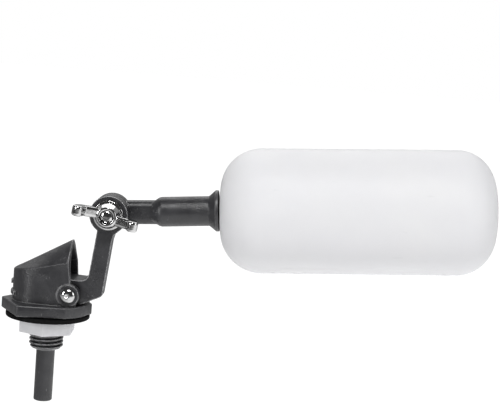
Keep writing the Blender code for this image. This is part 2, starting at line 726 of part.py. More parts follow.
def build():
    global parts, cutters
    clear_scene()
    parts = new_collection("float_valve")
    cutters = new_collection("cutters")

    dark_plastic = new_material("dark_grey_plastic", (0.055, 0.055, 0.06), 0.5)
    white_plastic = new_material("white_nylon", (0.62, 0.62, 0.64), 0.45)
    float_plastic = new_material("float_polyethylene", (0.83, 0.83, 0.85), 0.4)
    insert_plastic = new_material("insert_plastic", (0.5, 0.5, 0.52), 0.5)
    rubber = new_material("black_rubber", (0.012, 0.012, 0.013), 0.75)
    steel = new_material("polished_steel", (0.62, 0.61, 0.6), 0.18, 1.0)

    make_valve_body(dark_plastic)
    make_gasket(rubber)
    make_mounting_nut(white_plastic)
    make_pivot_pin(steel)
    make_retainer(steel)

    pivot = new_empty("lever_pivot", PIVOT)
    clamp = new_empty("arm_clamp", CLAMP)
    bpy.context.view_layer.update()
    clamp.parent = pivot
    clamp.matrix_parent_inverse = pivot.matrix_world.inverted()
    bpy.context.view_layer.update()

    make_lever(dark_plastic, pivot)
    make_seal(rubber, pivot)
    make_float_arm(dark_plastic, clamp)
    make_float(float_plastic, clamp)
    make_insert(insert_plastic, clamp)
    make_clamp_bolt(steel, clamp)
    make_washer(steel, clamp)
    make_wing_nut(steel, clamp)


build()
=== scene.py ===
"""Looks of the float valve: finely shaped pieces, procedural materials, studio and camera.

Everything is in the CAD part's frame: Z is the shank's axis, +X points to the float and -Y is
the side with the wing nut. Lengths are metres, written as millimetres times MM.
"""
from math import atan2, cos, floor, pi, radians, sin, tan

import bmesh
import bpy
from mathutils import Matrix, Vector


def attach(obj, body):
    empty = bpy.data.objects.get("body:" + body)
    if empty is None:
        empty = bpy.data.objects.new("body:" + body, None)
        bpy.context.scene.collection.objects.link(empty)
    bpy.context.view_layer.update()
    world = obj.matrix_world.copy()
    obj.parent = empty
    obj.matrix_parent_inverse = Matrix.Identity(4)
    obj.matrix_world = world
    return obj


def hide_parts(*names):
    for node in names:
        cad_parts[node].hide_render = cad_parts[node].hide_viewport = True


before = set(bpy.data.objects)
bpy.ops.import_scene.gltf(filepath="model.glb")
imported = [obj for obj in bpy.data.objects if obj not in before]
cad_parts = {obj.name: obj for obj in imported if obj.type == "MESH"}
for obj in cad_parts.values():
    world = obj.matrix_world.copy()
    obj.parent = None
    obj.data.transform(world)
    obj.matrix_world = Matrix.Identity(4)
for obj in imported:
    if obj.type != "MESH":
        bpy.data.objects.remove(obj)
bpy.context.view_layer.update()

MM = 0.001
GAP = 0.3 * MM                      # between pieces that touch or rest on each other
OVERLAP = 0.4 * MM                  # how far joined shapes reach into each other
ROUND_STEPS = 96                    # steps round a turned shape
HOLE_STEPS = 48                     # and round a hole
MERGE = 0.0000002                   # points closer than this are joined
RAY_SAMPLES = 6                     # for softened edges and for shade in corners

# inlet stem, threaded shank and flange
STEM_RADIUS = 3.175 * MM
STEM_BOTTOM = -29.5 * MM
BORE_RADIUS = 2.1 * MM
THREAD_RADIUS = 5.8 * MM
THREAD_ROOT = 4.9 * MM
THREAD_PITCH = 1.33 * MM
THREAD_END = -10.4 * MM
SHANK_END = THREAD_END - 0.6 * MM   # of the bare length below the thread
THREAD_CLEARANCE = 0.3 * MM
GASKET_RADIUS = 14.3 * MM
GASKET_THICKNESS = 1.4 * MM
FLANGE_BOTTOM = GASKET_THICKNESS + GAP
FLANGE_TOP = 5.5 * MM
FLANGE_CORNER = 16.2 * MM           # from the axis to a corner of the hexagon
FLANGE_NOSE = 15.0 * MM             # and to the blunt point towards the float
FLANGE_ROUND = 14.1 * MM            # radius of the side towards the float
NUT_FLATS = 17.5 * MM
NUT_HEIGHT = 5.0 * MM
NUT_TURN = radians(31.0)

# outlet hood
HOOD_RADIUS = 9.0 * MM
HOOD_BACK_CENTRE = -3.4 * MM
MOUTH_OUTSIDE = (9.5 * MM, 7.3 * MM, 7.3 * MM)      # x at the foot, the crease and the ridge
MOUTH_INSIDE = (9.0 * MM, 8.0 * MM, 7.4 * MM)       # the same on the inner skin
HOOD_WALL = 1.4 * MM
CREASE_AT_ORIGIN = 18.6 * MM
CREASE_SLOPE = 0.24
CREASE_ROUND = 0.45 * MM
RIDGE_AT_ORIGIN = 23.0 * MM
RIDGE_SLOPE = 0.58
ARCH_POWER = 1.6                    # how full the roof's arch is
RIB_HEIGHTS = (8.0 * MM, 11.4 * MM)
RIB_HALF_ANGLES = (radians(38.0), radians(14.0))
RIB_THICKNESS = 1.4 * MM
RIB_PROUD = 0.65 * MM

# pivot of the lever
PIVOT = Vector((7.8 * MM, 0.0, 9.3 * MM))
EAR_RADIUS = 3.8 * MM
EAR_OUTER = 9.5 * MM
EAR_INNER = 5.8 * MM
PIN_RADIUS = 1.5 * MM
PIN_HEAD_RADIUS = 2.55 * MM
PIN_HEAD_HEIGHT = 1.1 * MM
RETAINER_RADIUS = 3.1 * MM
RETAINER_THICKNESS = 0.6 * MM

# nozzle and seal
NOZZLE_TOP = 8.3 * MM
NOZZLE_LIP_RADIUS = 1.9 * MM
ORIFICE_RADIUS = 1.2 * MM
SEAL_RADIUS = 3.3 * MM
SEAL_THICKNESS = 2.2 * MM
SEAL_PROUD = 0.5 * MM
CLOSING_ANGLE = radians(12.0)
CLOSED_CLEARANCE = 0.2 * MM

# lever
LEVER_WIDTH = 5.5 * MM
LEVER_EDGE = 0.8 * MM
CLAMP = Vector((19.2 * MM, 0.0, 37.1 * MM))
EYE_RADIUS = 6.45 * MM
HUB_RADIUS = 3.4 * MM               # of the lever's end round the pivot
FOOT = (4.1 * MM, -HUB_RADIUS + 0.05 * MM)          # where its underside turns up, from the pivot
BOLT_RADIUS = 2.0 * MM
BOLT_PITCH = 0.7 * MM
HOLE_RADIUS = BOLT_RADIUS + GAP

# float arm, measured along its axis from the clamp bolt
ARM_TILT = radians(4.5)
ARM_RISE = 0.5 * MM
ARM_WIDTH = 5.5 * MM
NECK_HALF_HEIGHT = 4.05 * MM
SLEEVE_START = 14.2 * MM
SLEEVE_RADIUS = 5.05 * MM
FLARE_START = 33.6 * MM
FLARE_END = 35.9 * MM
FLARE_RADIUS = 7.0 * MM
RIM_END = 36.9 * MM
STUD_RADIUS = 2.8 * MM
SLEEVE_LIFT = radians(1.2)          # the sleeve points up a little from the neck's line
FLOAT_LIFT = 0.65 * MM              # the float's axis above the sleeve's start
FLOAT_DROOP = radians(0.35)         # and the float hangs down a little from it
STUD_END = 45.0 * MM

# float, measured from the sleeve's rim
FLOAT_LENGTH = 92.5 * MM
FLOAT_RADIUS = 21.15 * MM
FLOAT_KNUCKLE = 13.0 * MM           # rounding of the far end
FLOAT_NEAR_KNUCKLE = 14.0 * MM      # and of the end at the arm
FLOAT_CROWN = 0.2 * MM
FLOAT_WALL = 1.2 * MM
FLOAT_HOLE = 5.0 * MM
SEAM_HEIGHT = 0.05 * MM
SEAM_HALF_WIDTH = 0.35 * MM

# clamp bolt, washer and wing nut
BOLT_SEAT = 2.0 * MM
BOLT_LENGTH = 12.7 * MM
HEAD_FLATS = 7.0 * MM
HEAD_HEIGHT = 2.8 * MM
WASHER_RADIUS = 5.0 * MM
WASHER_THICKNESS = 0.8 * MM
WING_TURN = radians(7.5)
WING_HUB_HEIGHT = 4.0 * MM
WING_HUB_BASE = 4.3 * MM
WING_HUB_TOP = 3.3 * MM
WING_REACH = 11.2 * MM
WING_HEIGHT = 9.0 * MM
WING_THICKNESS = 3.4 * MM           # where it leaves the hub
WING_SPREAD = 0.05                  # how much thicker it is at the tip, as a share
WING_OFFSET = 0.7 * MM              # each wing stands this far off the middle

# studio
FLOOR_HEIGHT = -105.0 * MM          # clear of the float at its lowest
LOOK_AT = Vector((66.05 * MM, 0.0, 45.0 * MM))
CAMERA_DISTANCE = 448.5 * MM
CAMERA_AZIMUTH = radians(1.3)       # from straight in front, towards the float
CAMERA_ELEVATION = radians(6.9)
CAMERA_ROLL = radians(4.56)
LENS = 95.6                         # millimetres
SENSOR_WIDTH = 36.0
FLOOR_RADIUS = 6.0
FLOOR_LIGHT = 0.87                  # how strongly the floor glows under the float
WHITE = (1.0, 1.0, 1.0, 1.0)

ARM_PLACE = Matrix.Translation(CLAMP) @ Matrix.Rotation(-ARM_TILT, 4, "Y")
SLEEVE_PLACE = (ARM_PLACE @ Matrix.Translation((SLEEVE_START, 0.0, ARM_RISE))
                @ Matrix.Rotation(-SLEEVE_LIFT, 4, "Y"))
FLOAT_PLACE = (ARM_PLACE @ Matrix.Translation((RIM_END, 0.0, ARM_RISE + FLOAT_LIFT))
               @ Matrix.Rotation(FLOAT_DROOP, 4, "Y"))
LAY_ALONG_Y = Matrix.Rotation(-pi / 2, 4, "X")
LAY_ALONG_X = Matrix.Rotation(pi / 2, 4, "Y")
STAND_UP = Matrix.Rotation(pi / 2, 4, "X")


# ---------------------------------------------------------------- lines

def arc(centre, radius, start, end, steps):
    """Points on an arc from one angle to another, both in radians."""
    angles = [start + (end - start) * i / steps for i in range(steps + 1)]
    return [(centre[0] + radius * cos(a), centre[1] + radius * sin(a)) for a in angles]


def fillet(before, corner, after, radius, steps):
    """Points of the arc that rounds the corner between two neighbouring points."""
    back = (before - corner).normalized()
    ahead = (after - corner).normalized()
    half = back.angle(ahead) / 2
    room = 0.49 * min((before - corner).length, (after - corner).length)
    reach = min(radius / tan(half), room)
    centre = corner + (back + ahead).normalized() * reach / cos(half)
    start = corner + back * reach - centre
    end = corner + ahead * reach - centre
    sweep = start.angle(end)
    points = []
    for i in range(steps + 1):
        share = i / steps
        points.append(centre + (start * sin((1 - share) * sweep) + end * sin(share * sweep))
                      / sin(sweep))
    return points


def rounded(corners, closed=False, steps=5):
    """A line whose corners, given as (x, y, radius), are rounded; radius 0 keeps a corner sharp."""
    points = [Vector(corner[:2]) for corner in corners]
    line = []
    for i, corner in enumerate(corners):
        at_end = not closed and i in (0, len(corners) - 1)
        if corner[2] == 0.0 or at_end:
            line.append(tuple(points[i]))
        else:
            after = points[(i + 1) % len(points)]
            line += [tuple(p) for p in fillet(points[i - 1], points[i], after, corner[2], steps)]
    return line


def hexagon(flats, round_corners):
    """A hexagon with flats at +Y and -Y."""
    corner = flats / 2 / cos(pi / 6)
    points = arc((0.0, 0.0), corner, 0.0, 5 * pi / 3, 5)
    return rounded([(x, y, round_corners) for x, y in points], closed=True, steps=3)


# ---------------------------------------------------------------- solids

def solid(work, place=None):
    """An object from a closed bmesh, with its faces turned outwards."""
    bmesh.ops.remove_doubles(work, verts=work.verts, dist=MERGE)
    bmesh.ops.recalc_face_normals(work, faces=work.faces)
    if place:
        work.transform(place)
    mesh = bpy.data.meshes.new("solid")
    work.to_mesh(mesh)
    work.free()
    obj = bpy.data.objects.new("solid", mesh)
    bpy.context.scene.collection.objects.link(obj)
    return obj


def bridge(work, first, second):
    """Faces between two closed rings of points; a ring of one point is a tip."""
    count = max(len(first), len(second))
    for i in range(count):
        j = (i + 1) % count
        if len(first) == 1:
            work.faces.new((first[0], second[j], second[i]))
        elif len(second) == 1:
            work.faces.new((first[i], first[j], second[0]))
        else:
            work.faces.new((first[i], first[j], second[j], second[i]))


def turned(profile, place=None, steps=ROUND_STEPS, closed=False, swell=None):
    """A turned solid about Z from a (radius, height) line that starts and ends on the axis.

    With closed, the line is a loop clear of the axis. swell(angle, height) is added to the radius.
    """
    work = bmesh.new()
    rings = []
    for radius, height in profile:
        points = []
        for step in range(1 if radius == 0.0 else steps):
            angle = 2 * pi * step / steps
            reach = radius + (swell(angle, height) if swell and radius > 0.0 else 0.0)
            points.append(work.verts.new((reach * cos(angle), reach * sin(angle), height)))
        rings.append(points)
    pairs = list(zip(rings, rings[1:]))
    if closed:
        pairs.append((rings[-1], rings[0]))
    for first, second in pairs:
        bridge(work, first, second)
    return solid(work, place)


def plate(outline, low, high, edge=0.0, place=None, segments=3):
    """An outline in XY extruded along Z, with rounded rims."""
    work = bmesh.new()
    lower = [work.verts.new((x, y, low)) for x, y in outline]
    upper = [work.verts.new((x, y, high)) for x, y in outline]
    bridge(work, lower, upper)
    caps = [work.faces.new(lower), work.faces.new(upper)]
    bmesh.ops.recalc_face_normals(work, faces=work.faces)
    if edge:
        rims = [rim for cap in caps for rim in cap.edges]
        bmesh.ops.bevel(work, geom=rims, offset=edge, segments=segments, profile=0.5,
                        affect="EDGES", clamp_overlap=True)
    return solid(work, place)


def side_plate(outline, y_from, y_to, edge=0.0, place=None, segments=3):
    """An outline drawn as (x, z), extruded along Y between two depths, with rounded rims."""
    placed = place @ STAND_UP if place else STAND_UP
    return plate(outline, -y_to, -y_from, edge, placed, segments)


def ring_line(inner, outer, bottom, top, edge):
    """The section of a washer, with rounded edges."""
    corners = [(inner, top), (outer, top), (outer, bottom), (inner, bottom)]
    return rounded([(r, z, edge) for r, z in corners], closed=True, steps=3)


def applied(obj):
    """Replace an object's mesh by its evaluated one, with no modifiers left."""
    bpy.context.view_layer.update()
    evaluated = obj.evaluated_get(bpy.context.evaluated_depsgraph_get())
    mesh = bpy.data.meshes.new_from_object(evaluated)
    obj.modifiers.clear()
    obj.data = mesh
    return obj


def combine(obj, others, operation="UNION"):
    """Join or cut with the other shapes and keep the result."""
    for other in others:
        boolean = obj.modifiers.new("Boolean", "BOOLEAN")
        boolean.operation = operation
        boolean.solver = "EXACT"
        boolean.object = other
        applied(obj)
        bpy.data.objects.remove(other)
    return obj


def melted(obj, voxel, passes):
    """Remesh a shape finely and smooth it, so that its joins flow together as in a casting."""
    remesh = obj.modifiers.new("Remesh", "REMESH")
    remesh.mode = "VOXEL"
    remesh.voxel_size = voxel
    smooth = obj.modifiers.new("Smooth", "SMOOTH")
    smooth.factor = 0.5
    smooth.iterations = passes
    return applied(obj)


def thread_swell(pitch, depth, low, high, lead_in):
    """The extra radius of a helical thread between two heights, fading out over lead_in."""
    root_share = 0.15
    flank_share = 0.55

    def swell(angle, height):
        phase = height / pitch - angle / (2 * pi)
        wave = 1.0 - abs(2.0 * (phase - floor(phase)) - 1.0)
        crest = min(max((wave - root_share) / flank_share, 0.0), 1.0)
        inside = min(height - low, high - height) / lead_in
        return depth * crest * min(max(inside, 0.0), 1.0)

    return swell


def thread_line(radius, low, high, pitch):
    """Evenly spaced points up a threaded length."""
    rows_per_turn = 12
    rows = int((high - low) / pitch * rows_per_turn)
    return [(radius, low + (high - low) * i / rows) for i in range(rows + 1)]


# ---------------------------------------------------------------- valve body

def flange():
    """A hexagon whose side towards the float is rounded."""
    corner_round = 0.5 * MM
    corners = [(FLANGE_CORNER * cos(a), FLANGE_CORNER * sin(a), corner_round)
               for a in (radians(120.0), radians(180.0), radians(240.0))]
    half = radians(58.0)
    nose = radians(9.0)
    lower = [(x, y, 0.0) for x, y in arc((0.0, 0.0), FLANGE_ROUND, -half, -nose, 20)]
    upper = [(x, y, 0.0) for x, y in arc((0.0, 0.0), FLANGE_ROUND, nose, half, 20)]
    corners += lower + [(FLANGE_NOSE, 0.0, corner_round)] + upper
    return plate(rounded(corners, closed=True), FLANGE_BOTTOM, FLANGE_TOP, 0.4 * MM)


def stem():
    """The plain tube below the thread, with a rounded end."""
    step_radius = THREAD_ROOT - 0.4 * MM
    inside = THREAD_END + MM
    profile = [(0.0, STEM_BOTTOM, 0.0), (STEM_RADIUS, STEM_BOTTOM, 0.45 * MM),
               (STEM_RADIUS, THREAD_END - 1.1 * MM, 0.3 * MM),
               (step_radius, SHANK_END, 0.2 * MM), (step_radius, inside, 0.0),
               (0.0, inside, 0.0)]
    return turned(rounded(profile))


def shank():
    """The threaded shank, whose helical thread fades out above the stem."""
    high = FLANGE_BOTTOM + OVERLAP
    swell = thread_swell(THREAD_PITCH, THREAD_RADIUS - THREAD_ROOT, SHANK_END,
                         high + THREAD_PITCH, 0.7 * THREAD_PITCH)
    line = thread_line(THREAD_ROOT, SHANK_END, high, THREAD_PITCH)
    return turned([(0.0, SHANK_END)] + line + [(0.0, high)], swell=swell)


def nozzle():
    """The raised seat that the seal closes."""
    foot = FLANGE_TOP - OVERLAP
    foot_radius = 3.6 * MM
    profile = [(0.0, NOZZLE_TOP, 0.0), (NOZZLE_LIP_RADIUS, NOZZLE_TOP, 0.3 * MM),
               (foot_radius, foot, 0.0), (0.0, foot, 0.0)]
    return turned(rounded(profile))


def waterway():
    """The cutter for the orifice and the wider bore below it, chamfered at the stem's end."""
    above = NOZZLE_TOP + MM
    below = STEM_BOTTOM - 0.2 * MM
    shoulder = FLANGE_TOP - 1.0 * MM
    chamfer = 0.5 * MM
    profile = [(0.0, above), (ORIFICE_RADIUS, above), (ORIFICE_RADIUS, shoulder),
               (BORE_RADIUS, shoulder - 1.0 * MM), (BORE_RADIUS, below + chamfer),
               (BORE_RADIUS + chamfer, below), (0.0, below)]
    return turned(profile, steps=HOLE_STEPS)


def hood_column(share, angle, inset, rows):
    """One column of the hood's skin: up the wall, over the crease and in to the ridge.

    On the straight sides share runs from 0 at the back to 1 at the mouth, and angle is a quarter
    turn either way. Round the back share is 0 and angle goes from one side to the other.
    """
    radius = HOOD_RADIUS - inset
    crease = CREASE_AT_ORIGIN - inset
    ridge = RIDGE_AT_ORIGIN - inset
    mouth_foot, mouth_crease, mouth_ridge = MOUTH_INSIDE if inset else MOUTH_OUTSIDE

    def skin_point(inward):
        """The point of the roof that lies this far in from the wall, as a share of the radius."""
        reach = radius * (1.0 - inward)
        across = abs(reach * sin(angle)) / radius
        arch = 1.0 - across ** ARCH_POWER
        height = crease + (ridge - crease) * arch
        slope = CREASE_SLOPE + (RIDGE_SLOPE - CREASE_SLOPE) * arch
        if share > 0.0:
            mouth = mouth_crease + (mouth_ridge - mouth_crease) * arch
            x = HOOD_BACK_CENTRE + share * (mouth - HOOD_BACK_CENTRE)
        else:
            x = HOOD_BACK_CENTRE + reach * cos(angle)
        return Vector((x, reach * sin(angle), height + slope * x))

    top = skin_point(0.0)
    bottom = FLANGE_TOP - OVERLAP
    foot_x = top.x
    if share > 0.0:
        foot_x = HOOD_BACK_CENTRE + share * (mouth_foot - HOOD_BACK_CENTRE)
    foot = Vector((foot_x, top.y, bottom))
    roof = [skin_point(i / rows) for i in range(1, rows + 1)]
    crease_round = fillet(foot, top, roof[1], max(CREASE_ROUND - inset / 4, 0.1 * MM), 4)
    return [foot] + crease_round + roof[1:]


def hood_skin(work, inset):
    """Columns of points all round the hood, from the mouth's near side to its far side."""
    side_steps = 14
    back_steps = 36
    rows = 16
    stations = [(1.0 - i / side_steps, -pi / 2) for i in range(side_steps)]
    stations += [(0.0, -pi / 2 - pi * i / back_steps) for i in range(back_steps + 1)]
    stations += [((i + 1) / side_steps, -3 * pi / 2) for i in range(side_steps)]
    columns = [[work.verts.new(p) for p in hood_column(share, angle, inset, rows)]
               for share, angle in stations]
    for first, second in zip(columns, columns[1:]):
        for i in range(len(first) - 1):
            work.faces.new((first[i], second[i], second[i + 1], first[i + 1]))
    return columns


def hood():
    """The hood: closed at the back and the top, open below and at its leaning mouth."""
    work = bmesh.new()
    outer = hood_skin(work, 0.0)
    inner = hood_skin(work, HOOD_WALL)
    for column in (0, -1):
        for i in range(len(outer[0]) - 1):
            work.faces.new((outer[column][i], outer[column][i + 1],
                            inner[column][i + 1], inner[column][i]))
    for first, second, third, fourth in zip(outer, outer[1:], inner[1:], inner):
        work.faces.new((first[0], second[0], third[0], fourth[0]))
    bmesh.ops.remove_doubles(work, verts=work.verts, dist=MERGE)
    bmesh.ops.recalc_face_normals(work, faces=work.faces)
    sharp = radians(60.0)
    rim_round = 0.22 * MM
    rim = [edge for edge in work.edges
           if edge.calc_face_angle(0.0) > sharp and max(v.co.z for v in edge.verts) > FLANGE_TOP]
    bmesh.ops.bevel(work, geom=rim, offset=rim_round, segments=2, profile=0.5,
                    affect="EDGES", clamp_overlap=True)
    return solid(work)


def rib(height, half_angle):
    """A short raised rib that follows the back of the hood."""
    outer = HOOD_RADIUS + RIB_PROUD
    inner = HOOD_RADIUS - OVERLAP
    centre = (HOOD_BACK_CENTRE, 0.0)
    outline = arc(centre, outer, pi - half_angle, pi + half_angle, 24)
    outline += arc(centre, inner, pi + half_angle, pi - half_angle, 24)
    low = height - RIB_THICKNESS / 2
    return plate(outline, low, low + RIB_THICKNESS, 0.25 * MM)


def ear(side):
    """One ear: a round-topped web inside the hood's wall, and the boss that stands out of it."""
    web_radius = EAR_RADIUS - 0.25 * MM
    foot = FLANGE_TOP - OVERLAP
    outline = arc((PIVOT.x, PIVOT.z), web_radius, -0.15 * pi, pi, 40)
    outline += [(PIVOT.x - web_radius, foot), (PIVOT.x + 2.4 * MM, foot)]
    depths = sorted((side * EAR_INNER, side * (HOOD_RADIUS - OVERLAP)))
    web = side_plate(outline, *depths)
    low, high = sorted((side * (EAR_INNER + OVERLAP), side * EAR_OUTER))
    profile = [(0.0, low, 0.0), (EAR_RADIUS, low, 0.25 * MM),
               (EAR_RADIUS, high, 0.25 * MM), (0.0, high, 0.0)]
    boss = turned(rounded(profile), Matrix.Translation(PIVOT) @ LAY_ALONG_Y)
    return combine(web, [boss])


def pin_hole(reach):
    """The cutter for the pivot pin's hole, this far to either side."""
    hole = PIN_RADIUS + GAP
    profile = [(0.0, -reach), (hole, -reach), (hole, reach), (0.0, reach)]
    return turned(profile, Matrix.Translation(PIVOT) @ LAY_ALONG_Y, steps=HOLE_STEPS)


def make_valve_body():
    body = flange()
    ribs = [rib(h, a) for h, a in zip(RIB_HEIGHTS, RIB_HALF_ANGLES)]
    combine(body, [shank(), stem(), nozzle(), hood(), ear(1), ear(-1)] + ribs)
    return combine(body, [waterway(), pin_hole(EAR_OUTER + MM)], "DIFFERENCE")


def make_gasket():
    line = ring_line(THREAD_RADIUS + THREAD_CLEARANCE, GASKET_RADIUS, 0.0, GASKET_THICKNESS,
                     0.3 * MM)
    return turned(line, closed=True)


def make_mounting_nut():
    """A hexagon nut with rounded edges and a hole that is countersunk at both ends."""
    place = Matrix.Translation((0.0, 0.0, -GAP)) @ Matrix.Rotation(NUT_TURN, 4, "Z")
    nut = plate(hexagon(NUT_FLATS, 0.5 * MM), -NUT_HEIGHT, 0.0, 0.3 * MM, place)
    hole = THREAD_RADIUS + THREAD_CLEARANCE
    low = -NUT_HEIGHT - GAP
    sink = 1.5 * MM
    above = 0.5 * MM
    profile = [(0.0, low - MM), (hole + sink, low - MM), (hole, low - MM + sink),
               (hole, above - 1.3 * MM), (hole + 1.3 * MM, above), (0.0, above)]
    return combine(nut, [turned(profile)], "DIFFERENCE")


# ---------------------------------------------------------------- lever and its pivot

def lever_bar():
    """The lever's side view, as (x, z) from the pivot: foot, elbow, leaning bar and round eye."""
    eye = CLAMP - PIVOT
    lean = atan2(2.0, 16.1)             # of the bar's side towards the float
    heel = (9.6 * MM, 1.0 * MM)
    heel_round = 1.6 * MM
    elbow = (3.35 * MM, 7.55 * MM)
    elbow_round = 2.75 * MM
    outline = [(0.0, -HUB_RADIUS), FOOT]
    outline += arc(heel, heel_round, radians(-64.0), -lean, 12)
    outline += [(13.15 * MM, 19.0 * MM), (13.75 * MM, 21.2 * MM)]
    outline += arc((eye.x, eye.z), EYE_RADIUS, radians(-50.0), radians(237.0), 70)
    outline += [(7.95 * MM, 22.3 * MM), (6.1 * MM, 7.2 * MM)]
    outline += arc(elbow, elbow_round, radians(-8.0), radians(-94.0), 12)
    outline += [(-1.5 * MM, 4.95 * MM)]
    outline += arc((0.0, 0.0), HUB_RADIUS, pi, 1.45 * pi, 12)
    return side_plate(outline, -LEVER_WIDTH, 0.0, LEVER_EDGE, Matrix.Translation(PIVOT), 4)


def seal_place():
    """Where the seal's face is, with the lever tilted open."""
    tilt = Matrix.Rotation(CLOSING_ANGLE, 4, "Y")
    face = Matrix.Translation((-PIVOT.x, 0.0, NOZZLE_TOP + CLOSED_CLEARANCE - PIVOT.z))
    return Matrix.Translation(PIVOT) @ tilt @ face


def paddle():
    """The wide end of the lever inside the hood; its underside is level when the valve is shut."""
    tip = -12.4 * MM
    seal_x = -PIVOT.x
    closed = NOZZLE_TOP + CLOSED_CLEARANCE - PIVOT.z
    under = PIVOT.x * sin(CLOSING_ANGLE) + closed * cos(CLOSING_ANGLE) + SEAL_PROUD
    slope = tan(CLOSING_ANGLE)
    outline = [(0.0, -HUB_RADIUS), FOOT, (7.6 * MM, -1.2 * MM), (6.4 * MM, 6.5 * MM),
               (5.6 * MM, 5.2 * MM), (4.0 * MM, 4.75 * MM), (tip, 5.5 * MM),
               (tip, under - slope * (tip - seal_x)),
               (-HUB_RADIUS, under - slope * (-HUB_RADIUS - seal_x))]
    outline += arc((0.0, 0.0), HUB_RADIUS, pi, 1.45 * pi, 14)
    place = Matrix.Translation(PIVOT)
    body = side_plate(outline, -LEVER_WIDTH, LEVER_WIDTH, 0.3 * MM, place, 2)
    corner = 2.5 * MM
    front = 8.4 * MM
    blend = LEVER_WIDTH + 0.8 * MM
    plan = arc((tip + corner, LEVER_WIDTH - corner), corner, pi / 2, pi, 10)
    plan += arc((tip + corner, -LEVER_WIDTH + corner), corner, pi, 1.5 * pi, 10)
    plan += [(front, -LEVER_WIDTH), (front, -0.8 * MM)]
    plan += arc((1.7 * MM, -0.8 * MM), blend, 0.0, pi / 2, 24)
    trim = plate(plan, -8.0 * MM, 10.0 * MM, place=place)
    return combine(body, [trim], "INTERSECT")


def bolt_hole(place):
    """The cutter for the clamp bolt's hole, through both eyes."""
    reach = 8.0 * MM
    profile = [(0.0, -reach), (HOLE_RADIUS, -reach), (HOLE_RADIUS, reach), (0.0, reach)]
    return turned(profile, place @ LAY_ALONG_Y, steps=HOLE_STEPS)


def make_lever():
    """Bar and paddle, with the seal's pocket and the holes for pin and bolt."""
    lever = combine(lever_bar(), [paddle()])
    pocket = SEAL_RADIUS + GAP
    depth = SEAL_THICKNESS + GAP
    profile = [(0.0, -2 * MM), (pocket, -2 * MM), (pocket, depth), (0.0, depth)]
    cutters = [turned(profile, seal_place()), pin_hole(EAR_OUTER),
               bolt_hole(Matrix.Translation(CLAMP))]
    return combine(lever, cutters, "DIFFERENCE")


def make_seal():
    edge = 0.25 * MM
    profile = [(0.0, 0.0, 0.0), (SEAL_RADIUS, 0.0, edge),
               (SEAL_RADIUS, SEAL_THICKNESS, edge), (0.0, SEAL_THICKNESS, 0.0)]
    return turned(rounded(profile), seal_place())


def make_pivot_pin():
    """A headed pin: a domed head with a dimple on the wing nut's side."""
    head = EAR_OUTER + GAP
    past_ring = 0.6 * MM
    tail = -EAR_OUTER - GAP - RETAINER_THICKNESS - past_ring
    chamfer = 0.3 * MM
    dimple_radius = 0.85 * MM
    dimple_depth = 0.45 * MM
    dome_angles = [radians(20.0 + 70.0 * i / 12) for i in range(13)]
    dome = [(PIN_HEAD_RADIUS * sin(a), head + PIN_HEAD_HEIGHT * cos(a)) for a in dome_angles]
    bowl = [(dimple_radius * i / 5, dome[0][1] - dimple_depth * (1.0 - (i / 5) ** 2))
            for i in range(5)]
    profile = bowl + dome + [(PIN_HEAD_RADIUS - 0.15 * MM, head), (PIN_RADIUS, head)]
    profile += [(PIN_RADIUS, tail + chamfer), (PIN_RADIUS - chamfer, tail), (0.0, tail)]
    return turned(profile, Matrix.Translation(PIVOT) @ STAND_UP)


def make_retainer():
    """The push-on ring that holds the pin at the back ear."""
    line = ring_line(PIN_RADIUS + GAP, RETAINER_RADIUS, 0.0, RETAINER_THICKNESS, 0.15 * MM)
    place = Matrix.Translation(PIVOT + Vector((0.0, EAR_OUTER + GAP, 0.0))) @ LAY_ALONG_Y
    return turned(line, place, closed=True)


# ---------------------------------------------------------------- float arm and float

def arm_eye():
    """The round eye behind the lever's."""
    edge = 0.5 * MM
    back = GAP + ARM_WIDTH
    profile = [(0.0, GAP, 0.0), (EYE_RADIUS, GAP, edge), (EYE_RADIUS, back, edge),
               (0.0, back, 0.0)]
    return turned(rounded(profile), ARM_PLACE @ LAY_ALONG_Y)


def arm_neck():
    """The bar between the eye and the sleeve, with well rounded edges in front."""
    front = 2.3 * MM
    back = 1.1 * MM
    end = SLEEVE_START + 2.0 * MM
    low = GAP
    high = GAP + ARM_WIDTH - 0.6 * MM
    half = NECK_HALF_HEIGHT
    corners = [(low, -half, front), (high, -half, back), (high, half, back), (low, half, front)]
    outline = rounded(corners, closed=True, steps=8)
    across = Matrix(((0, 0, 1, 0), (1, 0, 0, 0), (0, 1, 0, 0), (0, 0, 0, 1)))   # XY to YZ
    return plate(outline, 0.0, end, place=ARM_PLACE @ across)


def arm_sleeve():
    """The round sleeve, its flared rim and the stud that screws into the float."""
    shoulder = 2.8 * MM
    start_radius = SLEEVE_RADIUS - 1.9 * MM
    rim_edge = 0.25 * MM
    profile = [(0.0, STUD_END, 0.0), (STUD_RADIUS, STUD_END, 0.5 * MM), (STUD_RADIUS, RIM_END, 0.0),
               (FLARE_RADIUS, RIM_END, rim_edge), (FLARE_RADIUS, FLARE_END, rim_edge),
               (SLEEVE_RADIUS, FLARE_START, 0.8 * MM),
               (SLEEVE_RADIUS, SLEEVE_START + shoulder, shoulder),
               (start_radius, SLEEVE_START, 0.5 * MM), (0.0, SLEEVE_START, 0.0)]
    place = SLEEVE_PLACE @ Matrix.Translation((-SLEEVE_START, 0.0, 0.0)) @ LAY_ALONG_X
    return turned(rounded(profile), place)


def make_float_arm():
    """Eye, neck and sleeve, with the bolt's hole and the pocket for its head."""
    arm = combine(arm_eye(), [arm_neck(), arm_sleeve()])
    pocket = plate(hexagon(HEAD_FLATS + 2 * GAP, 0.3 * MM), BOLT_SEAT - GAP, 8.0 * MM,
                   place=ARM_PLACE @ LAY_ALONG_Y)
    return combine(arm, [bolt_hole(ARM_PLACE), pocket], "DIFFERENCE")


